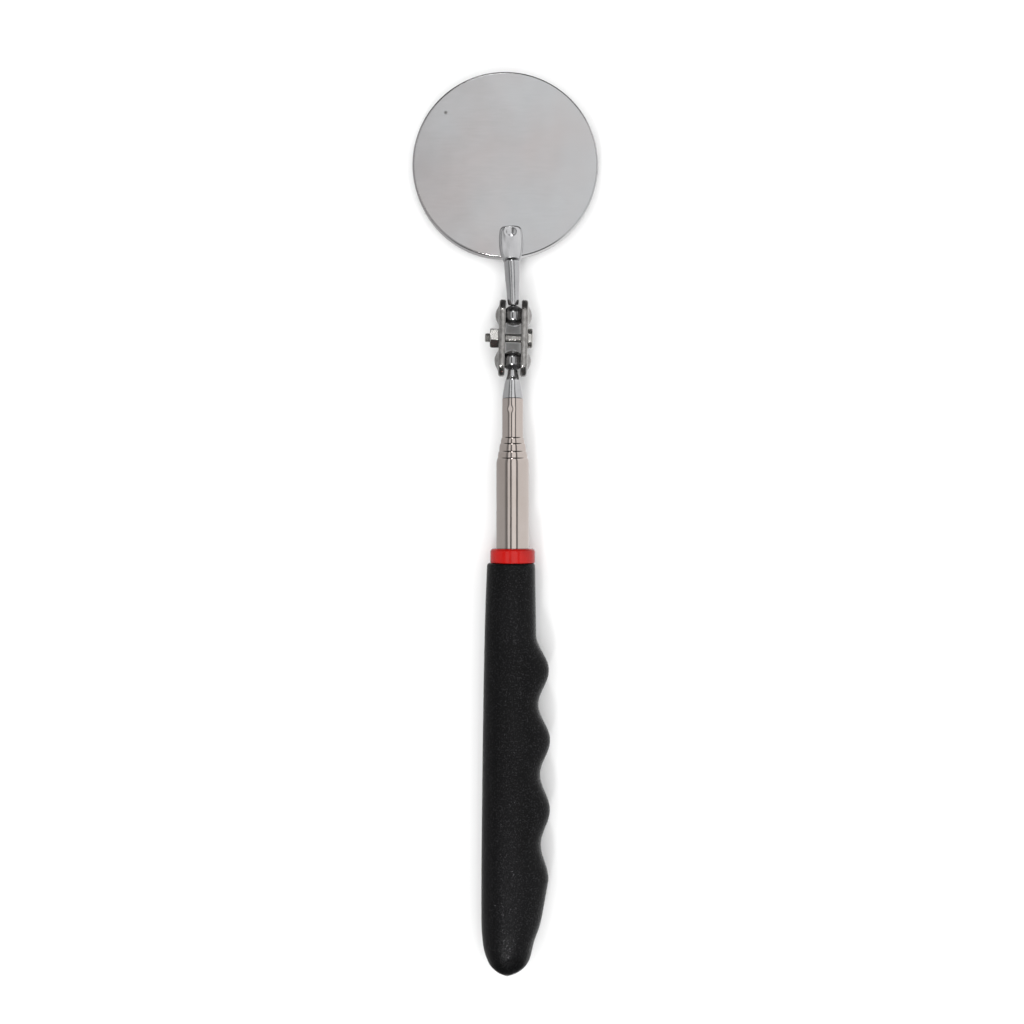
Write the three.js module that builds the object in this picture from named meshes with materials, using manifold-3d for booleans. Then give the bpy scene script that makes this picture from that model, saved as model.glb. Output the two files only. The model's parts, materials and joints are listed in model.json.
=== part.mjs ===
// Telescoping inspection mirror, collapsed, lying on its side with the mirror glass facing down.
// Millimetres, +Z up. +Y runs from the grip to the mirror, and +X is the side of the finger bumps.
// The origin is on the resting surface, under the centre of the bounding box.
import * as THREE from "three";
import { mergeVertices } from "three/addons/utils/BufferGeometryUtils.js";
import Module from "manifold-3d";

const wasm = await Module();
wasm.setup();

// ---- driving dimensions ---------------------------------------------------------------------
const AXIS_HEIGHT = 6.8; // the tubes' axis above the resting surface
const ROUND_SIDES = 24; // sides of every turned tube and stem
const BALL_SIDES = 20;
const DISC_SIDES = 48;
const GRIP_SIDES = 20;

// grip: distances along the tool are measured from the grip's tip
const GRIP_LENGTH = 110.5;
const GRIP_BORE_END = 9.8;
const WAVE_START = 91;
const WAVE_PITCH = 18.7;
const FIRST_PEAK = 81.9;
const LAST_PEAK = FIRST_PEAK - 3 * WAVE_PITCH;
const TIP_OFFSET = -1.5;

// red collar
const COLLAR_RADIUS = 6;
const COLLAR_HEIGHT = 3.9;

// tubes, the handle tube first
const TUBE_RADII = [4.37, 3.975, 3.585, 3.19, 2.8];
const TUBE_ENDS = [138.6, 140.4, 142.5, 144.1, 154.4];
const TUBE_WALL = 0.22;
const TUBE_ROLL = 1.3; // length of the rolled-in end
const RUNNING_GAP = 0.04;
const PLUG_FOOT = 10.2;
const PLUG_HEIGHT = 3.8;
const SLEEVE_FOOT = 15;
const SLEEVE_LENGTH = 12;
const SLEEVE_THICKNESS = 0.09;
const SLEEVE_SLOT_DEG = 30;

// ball clamp
const LOWER_BALL_Y = 164.6;
const BALL_SPACING = 12;
const BALL_RADIUS = 2.85;
const SEAT_RADIUS = 2.95;
const CUP_RADIUS = 2.95;
const PLATE_INNER = 2.05; // half the gap between the plates
const PLATE_OUTER = 3.85;
const PLATE_END_RADIUS = 4.3; // the plates' ends are round, seen along X
const PLATE_BEVEL = 0.5;
const SOCKET_RADIUS = 2.75; // outside of the pressed ball sockets
const SOCKET_TOP = 4.9; // from the plane between the plates
const CLAMP_LEAN_DEG = -1.3; // about +Z, from the tubes' axis
const STEM_LEAN_DEG = 3.3; // about +Z, from the clamp

// clamp screw and nut
const SCREW_RADIUS = 1.22;
const SCREW_HOLE_RADIUS = 1.35;
const HEAD_RADIUS = 2.7;
const HEAD_HEIGHT = 1.45;
const NUT_ACROSS_FLATS = 4.9;
const NUT_HEIGHT = 2.3;
const NUT_TURN_DEG = 16;
const THREAD_PROUD = 1.3;
const THREAD_GAP = 0.06;
const SEAT_GAP = 0.05; // between faces that rest on each other inside the leaning clamp

// mirror
const MIRROR_DISTANCE = 41.1; // from the upper ball to the mirror's centre
const MIRROR_OFFSET = -0.85;
const CASE_RADIUS = 25;
const CASE_BACK = -2.2; // the case's back below the stem's axis
const CASE_DEPTH = AXIS_HEIGHT + CASE_BACK;
const CASE_SHEET = 0.5;
const LIP_SHEET = 0.45;
const LIP_INNER_RADIUS = 23.2;
const EDGE_RADIUS = 0.6;
const PAD_THICKNESS = 0.5;
const GLASS_RADIUS = 24.35;

// mirror stem
const ROD_END = 14.8; // from the upper ball to the step
const STEP_LENGTH = 0.8;
const PADDLE_TOP = -0.45;
const PADDLE_BOTTOM = CASE_BACK + SEAT_GAP;
const PADDLE_END = 24.35;
const DIMPLE_Y = 22.7;
const DIMPLE_RADIUS = 1.3;
const DIMPLE_DEPTH = 0.2;

// ---- materials ------------------------------------------------------------------------------
const metal = (color, roughness) =>
  new THREE.MeshStandardMaterial({ color, metalness: 1, roughness });
const plastic = (color, roughness) =>
  new THREE.MeshStandardMaterial({ color, metalness: 0, roughness });
const CHROME = metal("#c8c9cb", 0.12);
const NICKEL = metal("#c4bbb2", 0.18);
const STEEL = metal("#a9a5a1", 0.35);
const BRONZE = metal("#a8753c", 0.35);
const CASE_STEEL = metal("#bdb9ba", 0.25);
const SILVERED = metal("#e4e8ea", 0.02);
const RUBBER = plastic("#212121", 0.85);
const RED = plastic("#bc2824", 0.35);
const FIBRE = plastic("#6b6257", 0.9);
const NYLON = plastic("#d8d4c8", 0.6);

// ---- solids ---------------------------------------------------------------------------------
function solid(geometry) {
  const bare = geometry.clone();
  bare.deleteAttribute("normal");
  bare.deleteAttribute("uv");
  const merged = mergeVertices(bare, 1e-4);
  return new wasm.Manifold(
    new wasm.Mesh({
      numProp: 3,
      vertProperties: new Float32Array(merged.attributes.position.array),
      triVerts: new Uint32Array(merged.index.array),
    }),
  );
}

function geometryOf(manifold) {
  const mesh = manifold.getMesh();
  const geometry = new THREE.BufferGeometry();
  geometry.setAttribute("position", new THREE.BufferAttribute(mesh.vertProperties, 3));
  geometry.setIndex(new THREE.BufferAttribute(mesh.triVerts, 1));
  geometry.computeVertexNormals();
  return geometry;
}

function named(name, geometry, material) {
  const mesh = new THREE.Mesh(geometry, material);
  mesh.name = name;
  return mesh;
}

// Points on an arc round a centre, in the plane of a lathe profile. Angles from the radius axis.
function arc(centreR, centreH, radius, fromDeg, toDeg, steps) {
  return Array.from({ length: steps + 1 }, (_, i) => {
    const angle = THREE.MathUtils.degToRad(fromDeg + ((toDeg - fromDeg) * i) / steps);
    return [centreR + radius * Math.cos(angle), centreH + radius * Math.sin(angle)];
  });
}

// Turned about +Y. The profile's points are [radius, height], with the solid on their left.
function turned(profile, sides = ROUND_SIDES) {
  return new THREE.LatheGeometry(
    profile.map(([r, h]) => new THREE.Vector2(Math.max(r, 0), h)),
    sides,
  );
}

// A plain round bar.
const rodGeometry = (radius, foot, top, sides = BALL_SIDES) =>
  turned([[0, foot], [radius, foot], [radius, top], [0, top]], sides);

// A closed loop for a ring: the first point again at the end.
const loop = (profile) => [...profile, profile[0]];

const aboutX = (geometry) => geometry.rotateZ(-Math.PI / 2); // +Y becomes +X
const aboutZ = (geometry) => geometry.rotateX(Math.PI / 2); // +Y becomes +Z

// ---- grip -----------------------------------------------------------------------------------
// A smooth curve through a few [distance from the tip, value] points.
function through(points) {
  const spline = new THREE.SplineCurve(points.map(([y, v]) => new THREE.Vector2(y, v)));
  const samples = spline.getPoints(400);
  return (y) => {
    const after = samples.findIndex((p) => p.x >= y);
    if (after <= 0) return samples[after === 0 ? 0 : samples.length - 1].y;
    const [a, b] = [samples[after - 1], samples[after]];
    return a.y + ((b.y - a.y) * (y - a.x)) / (b.x - a.x);
  };
}

const palmSide = through([
  [0, TIP_OFFSET],
  [1.7, -4.5],
  [4.4, -6.7],
  [10, -8.1],
  [22, -8.4],
  [60, -8.05],
  [92, -7.5],
  [GRIP_LENGTH, -6.85],
]);
const fingerHeel = through([
  [0, TIP_OFFSET],
  [1.7, 1.9],
  [4.4, 4.35],
  [9.7, 5.8],
  [15.1, 7.6],
  [LAST_PEAK, 9.55],
]);
const fingerPeaks = through([
  [LAST_PEAK, 9.55],
  [44.5, 9.95],
  [63.2, 10],
  [FIRST_PEAK, 9.7],
  [WAVE_START, 9.7],
]);
const fingerValleys = through([
  [LAST_PEAK, 7.65],
  [35.2, 7.55],
  [54, 7.35],
  [72.6, 6.9],
  [WAVE_START, 6.3],
]);
const fingerMouth = through([
  [WAVE_START, 6.3],
  [GRIP_LENGTH, 6],
]);
const halfDepth = through([
  [0, 0],
  [1.7, 3],
  [4.4, 4.9],
  [10, 6.3],
  [22, AXIS_HEIGHT],
  [60, 6.75],
  [GRIP_LENGTH, 6.4],
]);

function fingerSide(y) {
  if (y < LAST_PEAK) return fingerHeel(y);
  if (y > WAVE_START) return fingerMouth(y);
  const crest = (1 + Math.cos((2 * Math.PI * (y - FIRST_PEAK)) / WAVE_PITCH)) / 2;
  return THREE.MathUtils.lerp(fingerValleys(y), fingerPeaks(y), crest);
}

// One section of the grip: a slightly squared oval whose two sides follow their own outlines.
function gripSection(y, sides) {
  const squareness = 0.9;
  const middle = TIP_OFFSET * (1 - THREE.MathUtils.smoothstep(y, 0, 14));
  return Array.from({ length: sides }, (_, i) => {
    const angle = (2 * Math.PI * i) / sides;
    const across = Math.sign(Math.cos(angle)) * Math.abs(Math.cos(angle)) ** squareness;
    const up = Math.sign(Math.sin(angle)) * Math.abs(Math.sin(angle)) ** squareness;
    const side = across > 0 ? fingerSide(y) - middle : middle - palmSide(y);
    return new THREE.Vector3(middle + across * side, y, up * Math.min(halfDepth(y), AXIS_HEIGHT));
  });
}

function gripSolid() {
  const sides = GRIP_SIDES;
  const waveSteps = 24;
  const wavePitch = (WAVE_START - LAST_PEAK) / waveSteps;
  const tip = [0.4, 1.1, 2.2, 3.6, 5.2, 7.2, 10, 13, 16.5, 20.5];
  const waves = Array.from({ length: waveSteps + 1 }, (_, i) => LAST_PEAK + wavePitch * i);
  const mouth = [97, 104, GRIP_LENGTH];
  const sections = [...tip, ...waves, ...mouth].map((y) => gripSection(y, sides));
  const points = [new THREE.Vector3(TIP_OFFSET, 0, 0), ...sections.flat()];
  points.push(new THREE.Vector3(0, GRIP_LENGTH, 0));
  const index = [];
  const at = (section, i) => 1 + section * sides + (i % sides);
  for (let i = 0; i < sides; i++) {
    index.push(0, at(0, i), at(0, i + 1));
    for (let s = 0; s + 1 < sections.length; s++) {
      index.push(at(s, i), at(s + 1, i), at(s, i + 1));
      index.push(at(s, i + 1), at(s + 1, i), at(s + 1, i + 1));
    }
    index.push(points.length - 1, at(sections.length - 1, i + 1), at(sections.length - 1, i));
  }
  const skin = new THREE.BufferGeometry().setFromPoints(points);
  skin.setIndex(index);
  const boreRadius = TUBE_RADII[0] + RUNNING_GAP;
  const bore = rodGeometry(boreRadius, GRIP_BORE_END, GRIP_LENGTH + 5, ROUND_SIDES);
  return geometryOf(solid(skin).subtract(solid(bore)));
}

function collarGeometry() {
  const foot = GRIP_LENGTH + SEAT_GAP;
  const top = GRIP_LENGTH + COLLAR_HEIGHT;
  const bore = TUBE_RADII[0] + RUNNING_GAP;
  const round = 0.6;
  return turned(
    loop([
      [bore, foot],
      [COLLAR_RADIUS, foot],
      ...arc(COLLAR_RADIUS - round, top - round, round, 0, 90, 3),
      [bore, top],
    ]),
  );
}

// ---- telescope ------------------------------------------------------------------------------
const tubeFoot = (n) => (n === 0 ? PLUG_FOOT - 0.2 : PLUG_FOOT + PLUG_HEIGHT + SEAT_GAP);

// A tube whose upper end is rolled in until it just clears the next tube.
function tubeGeometry(n) {
  const [radius, end, foot] = [TUBE_RADII[n], TUBE_ENDS[n], tubeFoot(n)];
  const bore = radius - TUBE_WALL;
  if (n === TUBE_RADII.length - 1)
    return turned(loop([[bore, foot], [radius, foot], [radius, end], [bore, end]]));
  const mouth = TUBE_RADII[n + 1] + RUNNING_GAP;
  const shoulder = end - TUBE_ROLL;
  return turned(
    loop([
      [bore, foot],
      [radius, foot],
      [radius, shoulder],
      [radius - 0.05, shoulder + 0.6],
      [radius - 0.15, shoulder + 1.05],
      [mouth + 0.06, end],
      [mouth, end - 0.1],
      [mouth, shoulder + 0.75],
      [bore, shoulder + 0.3],
    ]),
  );
}

// A split spring sleeve between a tube's foot and the bore round it.
function sleeveGeometry(n) {
  const inner = TUBE_RADII[n] + RUNNING_GAP;
  const outer = inner + SLEEVE_THICKNESS;
  const half = THREE.MathUtils.degToRad(SLEEVE_SLOT_DEG / 2);
  const steps = ROUND_SIDES - 2;
  const rim = (radius) =>
    Array.from({ length: steps + 1 }, (_, i) => {
      const angle = half + ((2 * Math.PI - 2 * half) * i) / steps;
      return new THREE.Vector2(radius * Math.cos(angle), radius * Math.sin(angle));
    });
  const shape = new THREE.Shape([...rim(outer), ...rim(inner).reverse()]);
  const geometry = new THREE.ExtrudeGeometry(shape, { depth: SLEEVE_LENGTH, bevelEnabled: false });
  return geometry.rotateX(-Math.PI / 2).translate(0, SLEEVE_FOOT, 0);
}

function plugGeometry() {
  const radius = TUBE_RADII[0] - TUBE_WALL - RUNNING_GAP;
  const top = PLUG_FOOT + PLUG_HEIGHT;
  return turned([[0, PLUG_FOOT], [radius, PLUG_FOOT], [radius, top - 0.4], [radius - 0.4, top], [0, top]]);
}

// The cone with its spigot in the last tube. Its small end is a cup round the lower ball.
function tipGeometry() {
  const last = TUBE_RADII.length - 1;
  const shoulder = TUBE_ENDS[last] + SEAT_GAP;
  const spigot = TUBE_RADII[last] - TUBE_WALL - 0.03;
  const neck = 1.3;
  const neckDeg = THREE.MathUtils.radToDeg(Math.acos(neck / CUP_RADIUS));
  return turned([
    [0, shoulder - 8.4],
    [spigot - 0.4, shoulder - 8.4],
    [spigot, shoulder - 8],
    [spigot, shoulder],
    [2.7, shoulder],
    [TUBE_RADII[last], shoulder + 0.15],
    [2.62, shoulder + 1.2],
    [2.05, LOWER_BALL_Y - 5.7],
    [1.6, LOWER_BALL_Y - 4.4],
    [1.36, LOWER_BALL_Y - 3.3],
    ...arc(0, LOWER_BALL_Y, CUP_RADIUS, -neckDeg, -90, 3),
  ]);
}

// ---- ball clamp, in its own frame: lower ball at the origin, upper ball along +Y --------------
const ballGeometry = () => aboutX(turned(arc(0, 0, BALL_RADIUS, -90, 90, 10), BALL_SIDES));

// A pressed plate on the +X side, with round ends and a domed socket over each ball.
// Side -1 makes the other one.
function plateGeometry(side) {
  const outline = new THREE.Shape();
  outline.absarc(0, 0, PLATE_END_RADIUS, Math.PI, 2 * Math.PI);
  outline.absarc(0, BALL_SPACING, PLATE_END_RADIUS, 0, Math.PI);
  const bar = new THREE.ExtrudeGeometry(outline, {
    depth: PLATE_OUTER - PLATE_INNER - 2 * PLATE_BEVEL,
    curveSegments: 10,
    bevelThickness: PLATE_BEVEL,
    bevelSize: PLATE_BEVEL,
    bevelOffset: -PLATE_BEVEL,
    bevelSegments: 2,
  });
  bar.rotateY(Math.PI / 2).translate(PLATE_INNER + PLATE_BEVEL, 0, 0);
  let plate = solid(bar);
  const socketCentre = SOCKET_TOP - SOCKET_RADIUS;
  const socketFoot = SEAT_RADIUS + SEAT_GAP;
  const footDeg = THREE.MathUtils.radToDeg(Math.asin((socketFoot - socketCentre) / SOCKET_RADIUS));
  for (const y of [0, BALL_SPACING]) {
    const profile = [[0, socketFoot], ...arc(0, socketCentre, SOCKET_RADIUS, footDeg, 90, 5)];
    const socket = turned(profile, BALL_SIDES);
    plate = plate.add(solid(aboutX(socket).translate(0, y, 0)));
  }
  for (const y of [0, BALL_SPACING]) {
    const seat = turned(arc(0, 0, SEAT_RADIUS, -90, 90, 12), BALL_SIDES);
    plate = plate.subtract(solid(aboutX(seat).translate(0, y, 0)));
  }
  const hole = aboutX(rodGeometry(SCREW_HOLE_RADIUS, 0, SOCKET_TOP + 1));
  plate = plate.subtract(solid(hole.translate(0, BALL_SPACING / 2, 0)));
  return side > 0 ? geometryOf(plate) : geometryOf(plate).rotateY(Math.PI);
}

// Pan head on the +X side, thread end past the nut on the -X side.
function screwGeometry() {
  const seat = PLATE_OUTER + SEAT_GAP;
  const end = -(PLATE_OUTER + 2 * SEAT_GAP + NUT_HEIGHT + THREAD_PROUD);
  const crown = 0.55;
  const body = aboutX(
    turned(
      [
        [0, end],
        [SCREW_RADIUS - 0.3, end],
        [SCREW_RADIUS, end + 0.3],
        [SCREW_RADIUS, seat],
        [HEAD_RADIUS, seat],
        [HEAD_RADIUS, seat + HEAD_HEIGHT - 1],
        [HEAD_RADIUS - 0.18, seat + HEAD_HEIGHT - 0.55],
        [HEAD_RADIUS - crown, seat + HEAD_HEIGHT - 0.18],
        [HEAD_RADIUS - 2 * crown, seat + HEAD_HEIGHT],
        [0, seat + HEAD_HEIGHT],
      ],
      BALL_SIDES,
    ),
  );
  const recessDepth = 0.9;
  let screw = solid(body);
  for (const turn of [45, 135]) {
    const slot = new THREE.BoxGeometry(2 * recessDepth, 2.6, 0.6);
    slot.rotateX(THREE.MathUtils.degToRad(turn)).translate(seat + HEAD_HEIGHT, 0, 0);
    screw = screw.subtract(solid(slot));
  }
  return geometryOf(screw).translate(0, BALL_SPACING / 2, 0);
}

function nutGeometry() {
  const corner = NUT_ACROSS_FLATS / Math.sqrt(3);
  const start = PLATE_OUTER + SEAT_GAP;
  const chamfer = 0.3;
  const hex = solid(aboutX(rodGeometry(corner, -start - NUT_HEIGHT, -start, 6)));
  const cone = aboutX(
    turned(
      [
        [0, -start - NUT_HEIGHT],
        [corner - 2 * chamfer, -start - NUT_HEIGHT],
        [corner + 0.05, -start - NUT_HEIGHT + chamfer],
        [corner + 0.05, -start],
        [0, -start],
      ],
      BALL_SIDES,
    ),
  );
  const bore = aboutX(rodGeometry(SCREW_RADIUS + THREAD_GAP, -start - NUT_HEIGHT - 1, 0));
  const nut = hex.intersect(solid(cone)).subtract(solid(bore));
  const turn = THREE.MathUtils.degToRad(NUT_TURN_DEG);
  return geometryOf(nut).rotateX(turn).translate(0, BALL_SPACING / 2, 0);
}

// ---- mirror, in the stem's frame: upper ball at the origin, stem along +Y ---------------------
function stemGeometry() {
  const neck = 1.3;
  const neckDeg = THREE.MathUtils.radToDeg(Math.acos(neck / CUP_RADIUS));
  const rodLength = ROD_END + STEP_LENGTH;
  const rod = turned([
    ...arc(0, 0, CUP_RADIUS, 90, neckDeg, 3),
    [1.5, 3.3],
    [1.65, 4.2],
    [1.69, 5.5],
    [1.92, 10],
    [2.15, ROD_END],
    [2.15, rodLength],
    [0, rodLength],
  ]);
  const above = new THREE.Shape();
  above.moveTo(ROD_END, 4);
  above.lineTo(ROD_END, 2.15);
  above.lineTo(rodLength, PADDLE_TOP);
  above.lineTo(rodLength + 2, PADDLE_TOP);
  above.lineTo(rodLength + 2, 4);
  const wedge = new THREE.ExtrudeGeometry(above, { depth: 8, bevelEnabled: false });
  wedge.translate(0, 0, -4);
  wedge.applyMatrix4(new THREE.Matrix4().makeBasis(
    new THREE.Vector3(0, 1, 0),
    new THREE.Vector3(0, 0, 1),
    new THREE.Vector3(1, 0, 0),
  ));
  const outline = new THREE.Shape();
  outline.moveTo(-1.9, ROD_END - 0.6);
  outline.lineTo(1.9, ROD_END - 0.6);
  outline.bezierCurveTo(2.9, ROD_END + 0.8, 3.2, ROD_END + 3, 3.2, ROD_END + 5);
  outline.bezierCurveTo(3.2, ROD_END + 6.6, 3.1, PADDLE_END - 1.6, 2.9, PADDLE_END - 1);
  outline.quadraticCurveTo(2.6, PADDLE_END - 0.05, 0, PADDLE_END);
  outline.quadraticCurveTo(-2.6, PADDLE_END - 0.05, -2.9, PADDLE_END - 1);
  outline.bezierCurveTo(-3.1, PADDLE_END - 1.6, -3.2, ROD_END + 6.6, -3.2, ROD_END + 5);
  outline.bezierCurveTo(-3.2, ROD_END + 3, -2.9, ROD_END + 0.8, -1.9, ROD_END - 0.6);
  const paddle = new THREE.ExtrudeGeometry(outline, {
    depth: PADDLE_TOP - PADDLE_BOTTOM,
    bevelEnabled: false,
    curveSegments: 6,
  });
  paddle.translate(0, 0, PADDLE_BOTTOM);
  const ball = (DIMPLE_RADIUS ** 2 + DIMPLE_DEPTH ** 2) / (2 * DIMPLE_DEPTH);
  const dimple = new THREE.SphereGeometry(ball, 24, 24);
  dimple.translate(0, DIMPLE_Y, PADDLE_TOP + ball - DIMPLE_DEPTH);
  const cutRod = solid(rod).subtract(solid(wedge));
  return geometryOf(cutRod.add(solid(paddle)).subtract(solid(dimple)));
}

// Heights in the mirror are measured up from the lip's resting face.

function caseGeometry() {
  const inside = CASE_RADIUS - CASE_SHEET;
  return aboutZ(
    turned(
      [
        [0, CASE_DEPTH - CASE_SHEET],
        [inside, CASE_DEPTH - CASE_SHEET],
        [inside, LIP_SHEET],
        [LIP_INNER_RADIUS, LIP_SHEET],
        [LIP_INNER_RADIUS, 0],
        ...arc(CASE_RADIUS - EDGE_RADIUS, EDGE_RADIUS, EDGE_RADIUS, -90, 0, 3),
        ...arc(CASE_RADIUS - EDGE_RADIUS, CASE_DEPTH - EDGE_RADIUS, EDGE_RADIUS, 0, 90, 3),
        [0, CASE_DEPTH],
      ],
      DISC_SIDES,
    ),
  );
}

// A plain disc, whose lower edge is ground to a bevel where one is given.
function discGeometry(foot, thickness, bevel) {
  const top = foot + thickness;
  const edge = bevel > 0 ? [[GLASS_RADIUS - bevel, foot]] : [];
  const profile = [[0, foot], ...edge, [GLASS_RADIUS, foot + bevel], [GLASS_RADIUS, top], [0, top]];
  return aboutZ(turned(profile, DISC_SIDES));
}

// ---- assembly -------------------------------------------------------------------------------
const tool = new THREE.Group();
tool.add(named("grip", gripSolid(), RUBBER));
tool.add(named("grip_collar", collarGeometry(), RED));
tool.add(named("tube_end_plug", plugGeometry(), NYLON));
TUBE_RADII.forEach((_, n) => {
  tool.add(named(`tube_${n + 1}`, tubeGeometry(n), NICKEL));
  if (n > 0) tool.add(named(`friction_sleeve_${n + 1}`, sleeveGeometry(n), BRONZE));
});
tool.add(named("tip_ball_stem", tipGeometry(), CHROME));

const clamp = new THREE.Group();
clamp.position.y = LOWER_BALL_Y;
clamp.rotation.z = THREE.MathUtils.degToRad(CLAMP_LEAN_DEG);
clamp.add(named("lower_ball", ballGeometry(), CHROME));
clamp.add(named("clamp_plate_left", plateGeometry(-1), STEEL));
clamp.add(named("clamp_plate_right", plateGeometry(1), STEEL));
clamp.add(named("clamp_screw", screwGeometry(), CHROME));
clamp.add(named("clamp_nut", nutGeometry(), STEEL));
tool.add(clamp);

const mirror = new THREE.Group();
mirror.position.y = BALL_SPACING;
mirror.rotation.z = THREE.MathUtils.degToRad(STEM_LEAN_DEG);
mirror.add(named("upper_ball", ballGeometry(), CHROME));
mirror.add(named("mirror_stem", stemGeometry(), CHROME));
clamp.add(mirror);

const disc = new THREE.Group();
disc.position.set(MIRROR_OFFSET, MIRROR_DISTANCE, -AXIS_HEIGHT);
const glassFoot = LIP_SHEET + SEAT_GAP;
const padFoot = CASE_DEPTH - CASE_SHEET - SEAT_GAP - PAD_THICKNESS;
const glassThickness = padFoot - SEAT_GAP - glassFoot;
disc.add(named("mirror_case", caseGeometry(), CASE_STEEL));
disc.add(named("backing_pad", discGeometry(padFoot, PAD_THICKNESS, 0), FIBRE));
disc.add(named("mirror_glass", discGeometry(glassFoot, glassThickness, 0.4), SILVERED));
mirror.add(disc);

tool.position.z = AXIS_HEIGHT;
const part = new THREE.Group();
part.add(tool);
const box = new THREE.Box3().setFromObject(part, true);
const centre = box.getCenter(new THREE.Vector3());
tool.position.set(-centre.x, -centre.y, AXIS_HEIGHT);

export default part;
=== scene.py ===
"""Looks for the telescoping inspection mirror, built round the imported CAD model.

Shapes are worked out in millimetres in three local frames: the tool's (origin on the tubes' axis at
the grip's tip), the clamp's (origin at the lower ball) and the mirror's (origin at the upper ball).
In each, +Y runs towards the mirror and +Z points up from the surface that the tool lies on.
"""
import json
import math

import bpy
import numpy as np
from mathutils import Matrix, Vector


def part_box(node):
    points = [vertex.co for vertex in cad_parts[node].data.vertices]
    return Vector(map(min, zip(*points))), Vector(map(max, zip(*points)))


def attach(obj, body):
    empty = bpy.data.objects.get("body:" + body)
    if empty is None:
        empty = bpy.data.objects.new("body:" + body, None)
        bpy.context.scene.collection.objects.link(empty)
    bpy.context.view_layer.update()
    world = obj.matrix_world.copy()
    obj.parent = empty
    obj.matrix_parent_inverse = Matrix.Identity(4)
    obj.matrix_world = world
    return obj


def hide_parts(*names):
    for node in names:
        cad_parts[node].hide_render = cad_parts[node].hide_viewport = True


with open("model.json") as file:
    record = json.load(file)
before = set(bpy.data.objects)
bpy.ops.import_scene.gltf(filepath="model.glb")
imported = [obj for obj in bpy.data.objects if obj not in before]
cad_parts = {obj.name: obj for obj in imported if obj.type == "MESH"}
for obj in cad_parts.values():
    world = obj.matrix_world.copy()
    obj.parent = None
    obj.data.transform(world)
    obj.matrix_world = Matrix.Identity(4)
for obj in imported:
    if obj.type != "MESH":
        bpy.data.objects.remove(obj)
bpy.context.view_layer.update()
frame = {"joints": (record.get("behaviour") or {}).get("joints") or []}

MM = 0.001

# ---- local frames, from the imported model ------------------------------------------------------
joints = {joint["name"]: joint for joint in frame["joints"]}
lower_ball = Vector(joints["lower_tilt"]["pos_m"])
upper_ball = Vector(joints["upper_tilt"]["pos_m"])
stem_axis = Vector(joints["mirror_spin"]["axis"])


def size_of(node):
    """The CAD node's box: its lowest corner, its size and its centre, in metres."""
    low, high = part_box(node)
    return low, high - low, (low + high) / 2


def local_frame(origin, along):
    """A frame whose +Y is along, and whose +Z is as near to up as that allows."""
    y = along.normalized()
    x = y.cross(Vector((0, 0, 1))).normalized()
    z = x.cross(y)
    turn = Matrix((x, y, z)).transposed().to_4x4()
    return Matrix.Translation(origin) @ turn


grip_low, grip_size, _ = size_of("grip")
TOOL = local_frame(Vector((lower_ball.x, grip_low.y, lower_ball.z)), Vector((0, 1, 0)))
CLAMP = local_frame(lower_ball, upper_ball - lower_ball)
MIRROR = local_frame(upper_ball, stem_axis)
case_low, case_size, case_centre = size_of("mirror_case")
DISC = Matrix.Translation(Vector((case_centre.x, case_centre.y, case_low.z)))


def along_tool(node, end):
    """Where a node starts (end=0) or stops (end=1) along the tool, in mm from the grip's tip."""
    return (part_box(node)[end].y - grip_low.y) / MM


def radius_of(node):
    """Half of a turned node's width, in mm."""
    return size_of(node)[1].x / 2 / MM


# ---- mesh making ------------------------------------------------------------------------------
SHARP_ANGLE = math.radians(40)


def make_piece(name, points, faces, place, body, nodes, slot, material):
    """A piece from points in mm in a local frame, which stands for its CAD nodes and rides a body."""
    mesh = bpy.data.meshes.new(name)
    mesh.from_pydata([tuple(c * MM for c in p) for p in points], [], [tuple(f) for f in faces])
    mesh.validate()
    mesh.shade_smooth()
    mesh.set_sharp_from_angle(angle=SHARP_ANGLE)
    mesh.materials.append(material)
    piece = bpy.data.objects.new(name, mesh)
    bpy.context.scene.collection.objects.link(piece)
    piece.matrix_world = place
    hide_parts(*nodes)
    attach(piece, body)


def rounded(corners, steps=7, support=0.05):
    """A profile from corners (radius, height, fillet). A fillet is an arc with a support point each end."""
    profile = []
    count = len(corners)
    for i, (r, h, fillet) in enumerate(corners):
        here = np.array([r, h], float)
        if fillet <= 0:
            profile.append(here)
            continue
        back = np.array(corners[i - 1][:2], float) - here
        on = np.array(corners[(i + 1) % count][:2], float) - here
        back, on = back / np.linalg.norm(back), on / np.linalg.norm(on)
        half = math.acos(max(-1, min(1, float(back @ on)))) / 2
        reach = fillet / math.tan(half)
        middle = here + (back + on) / np.linalg.norm(back + on) * fillet / math.sin(half)
        start, stop = here + back * reach, here + on * reach
        sweep = math.pi - 2 * half
        across, out = start - middle, stop - middle
        profile.append(start + back * support)
        for step in range(steps + 1):
            t = step / steps
            blend = (math.sin((1 - t) * sweep) * across + math.sin(t * sweep) * out) / math.sin(sweep)
            profile.append(middle + blend)
        profile.append(stop + on * support)
    return [tuple(p) for p in profile]


def turned(profile, sides=128, closed=False, shape=None):
    """Points and faces of a profile of (radius, height) turned about +Y. closed joins its two ends.
    shape moves each point: it takes and returns x, y, z."""
    points, rings, faces = [], [], []
    for r, h in profile:
        if r < 1e-6:
            rings.append([len(points)] * sides)
            points.append((0.0, h, 0.0))
            continue
        rings.append(list(range(len(points), len(points) + sides)))
        for i in range(sides):
            angle = 2 * math.pi * i / sides
            point = (r * math.cos(angle), h, r * math.sin(angle))
            points.append(shape(*point) if shape else point)
    pairs = list(zip(rings, rings[1:]))
    if closed:
        pairs.append((rings[-1], rings[0]))
    for low, high in pairs:
        for i in range(sides):
            j = (i + 1) % sides
            face = [low[i], high[i], high[j], low[j]]
            face = [v for n, v in enumerate(face) if v not in face[:n]]
            if len(face) > 2:
                faces.append(face)
    return points, faces


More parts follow.
